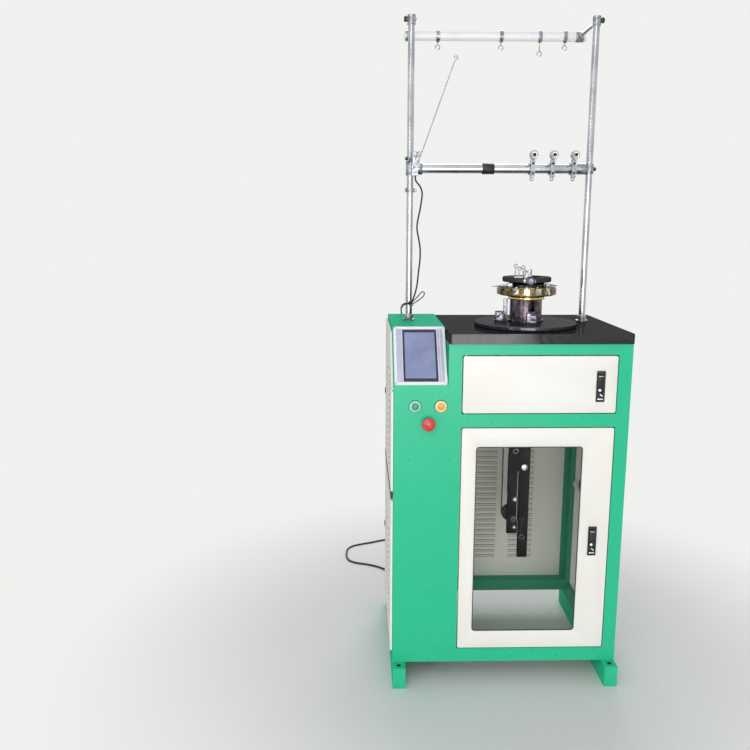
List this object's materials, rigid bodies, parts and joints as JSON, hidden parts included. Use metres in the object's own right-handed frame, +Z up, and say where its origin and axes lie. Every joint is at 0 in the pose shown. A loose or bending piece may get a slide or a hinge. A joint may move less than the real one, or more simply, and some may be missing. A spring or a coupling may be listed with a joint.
{
  "type": "circular knitting machine",
  "caption": "Small-diameter circular cord knitting machine: steel cabinet with doors, touch-screen column, knitting head on a black table, roller take-down and yarn stand",
  "frame": {"origin": "middle of the four floor bolt holes, on the floor", "axes": "+Z up, +X to the right seen from the front, the front faces -Y"},
  "size_m": [0.82, 1.11, 1.948],
  "materials": {
    "green_paint": "gloss enamel",
    "cream_paint": "powder coat",
    "black_paint": "satin black",
    "table_black": "gloss black",
    "steel": "turned",
    "chrome": "polished",
    "dark_steel": "oiled",
    "bronze_steel": "oiled",
    "brass": "polished",
    "motor_grey": "painted",
    "belt_rubber": "matte",
    "roller_rubber": "knurled",
    "black_plastic": "moulded",
    "pale_plastic": "moulded",
    "screen_glass": "glossy",
    "clear_pane": "clear",
    "green_plastic": "moulded",
    "yellow_plastic": "moulded",
    "red_plastic": "moulded",
    "cord_sheath": "matte"
  },
  "bodies": {
    "cabinet": {"cabinet_frame": "green_paint", "front_panel": "green_paint", "column_cover": "green_paint", "foot_rails": "green_paint", "table_top": "table_black", "back_panels": "cream_paint", "door_hinge_pins": "steel", "hmi_bezel": "pale_plastic", "hmi_screen": "screen_glass", "button_rings": "chrome", "bed_plate": "dark_steel", "cylinder_housing": "dark_steel", "brass_disc": "brass", "cam_ring": "bronze_steel", "cam_blocks": "steel", "dial_body": "dark_steel", "carrier_ring": "black_paint", "guide_bracket": "steel", "yarn_feeders": "steel", "head_brackets": "dark_steel", "main_motor": "motor_grey", "drive_belt": "belt_rubber", "take_down_frame": "black_paint", "take_down_bars": "black_paint", "take_down_belt": "belt_rubber", "stand_posts": "chrome", "post_fittings": "steel", "top_arms": "steel", "top_crossbar": "chrome", "yarn_hooks": "steel", "mid_crossbar": "chrome", "bar_coupling": "black_plastic", "tensioners": "steel", "stop_motion_bracket": "steel", "cable_glands": "black_plastic", "mains_lead": "cord_sheath", "mains_coil": "cord_sheath", "mains_plug": "black_plastic", "signal_lead": "cord_sheath"},
    "upper_front_door": {"upper_front_door": "cream_paint", "upper_latch_case": "black_paint"},
    "upper_latch_lever": {"upper_latch_lever": "black_paint"},
    "lower_front_door": {"lower_front_door": "cream_paint", "window_pane": "clear_pane", "lower_latch_case": "black_paint"},
    "lower_latch_lever": {"lower_latch_lever": "black_paint"},
    "left_upper_door": {"left_upper_door": "cream_paint"},
    "left_lower_door": {"left_lower_door": "cream_paint"},
    "right_side_door": {"right_side_door": "cream_paint"},
    "green_button": {"green_button_cap": "green_plastic"},
    "yellow_button": {"yellow_button_cap": "yellow_plastic"},
    "stop_button": {"estop_head": "red_plastic"},
    "cylinder": {"needle_cylinder": "steel", "latch_needles": "steel"},
    "motor_shaft": {"motor_pulley": "steel"},
    "driven_roller": {"driven_roller": "roller_rubber"},
    "pressure_roller": {"pressure_roller": "roller_rubber"},
    "take_down_pulley": {"take_down_pulley": "dark_steel"},
    "guide_knob": {"guide_knob": "dark_steel"},
    "stop_motion_arm": {"stop_motion_arm": "steel"}
  },
  "joints": [
    {"name": "cylinder_spin", "type": "hinge", "parent": "cabinet", "child": "cylinder", "pos_m": [0.0665, -0.046, 1.1], "axis": [0, 0, 1], "continuous": true},
    {"name": "motor_spin", "type": "hinge", "parent": "cabinet", "child": "motor_shaft", "pos_m": [0.2075, 0.066, 0.938], "axis": [0, 0, 1], "continuous": true},
    {"name": "driven_roller_spin", "type": "hinge", "parent": "cabinet", "child": "driven_roller", "pos_m": [0.0495, -0.03, 0.446], "axis": [0, 1, 0], "continuous": true},
    {"name": "pressure_roller_spin", "type": "hinge", "parent": "cabinet", "child": "pressure_roller", "pos_m": [0.0785, -0.03, 0.446], "axis": [0, 1, 0], "continuous": true},
    {"name": "take_down_pulley_spin", "type": "hinge", "parent": "cabinet", "child": "take_down_pulley", "pos_m": [0.0495, 0.002, 0.82], "axis": [0, 1, 0], "continuous": true},
    {"name": "upper_front_door_hinge", "type": "hinge", "parent": "cabinet", "child": "upper_front_door", "pos_m": [-0.1325, -0.225, 0.907], "axis": [0, 0, -1], "range_deg": [0, 110]},
    {"name": "lower_front_door_hinge", "type": "hinge", "parent": "cabinet", "child": "lower_front_door", "pos_m": [-0.1325, -0.225, 0.445], "axis": [0, 0, -1], "range_deg": [0, 110]},
    {"name": "upper_latch_hinge", "type": "hinge", "parent": "upper_front_door", "child": "upper_latch_lever", "pos_m": [0.2455, -0.2325, 0.932], "axis": [-1, 0, 0], "range_deg": [0, 60]},
    {"name": "lower_latch_hinge", "type": "hinge", "parent": "lower_front_door", "child": "lower_latch_lever", "pos_m": [0.2455, -0.2325, 0.474], "axis": [-1, 0, 0], "range_deg": [0, 60]},
    {"name": "left_upper_door_hinge", "type": "hinge", "parent": "cabinet", "child": "left_upper_door", "pos_m": [-0.3365, -0.224, 0.73], "axis": [0, 0, 1], "range_deg": [0, 100]},
    {"name": "left_lower_door_hinge", "type": "hinge", "parent": "cabinet", "child": "left_lower_door", "pos_m": [-0.3365, -0.224, 0.33], "axis": [0, 0, 1], "range_deg": [0, 100]},
    {"name": "right_side_door_hinge", "type": "hinge", "parent": "cabinet", "child": "right_side_door", "pos_m": [0.3265, -0.18, 0.548], "axis": [0, 0, -1], "range_deg": [0, 100]},
    {"name": "green_button_push", "type": "slide", "parent": "cabinet", "child": "green_button", "axis": [0, 1, 0], "range_m": [0, 0.003], "stiffness_N_per_m": 300},
    {"name": "yellow_button_push", "type": "slide", "parent": "cabinet", "child": "yellow_button", "axis": [0, 1, 0], "range_m": [0, 0.003], "stiffness_N_per_m": 300},
    {"name": "stop_button_push", "type": "slide", "parent": "cabinet", "child": "stop_button", "axis": [0, 1, 0], "range_m": [0, 0.004]},
    {"name": "guide_knob_turn", "type": "hinge", "parent": "cabinet", "child": "guide_knob", "pos_m": [0.0615, -0.122, 1.187], "axis": [0, 1, 0], "range_deg": [-170, 170]},
    {"name": "stop_motion_swing", "type": "hinge", "parent": "cabinet", "child": "stop_motion_arm", "pos_m": [-0.2565, 0.024, 1.516], "axis": [0, 1, 0], "range_deg": [-18, 40]}
  ],
  "couplings": [
    {"joint": "motor_spin", "follows": "cylinder_spin", "ratio": 1.8333},
    {"joint": "driven_roller_spin", "follows": "take_down_pulley_spin", "ratio": 1},
    {"joint": "pressure_roller_spin", "follows": "take_down_pulley_spin", "ratio": -1}
  ]
}
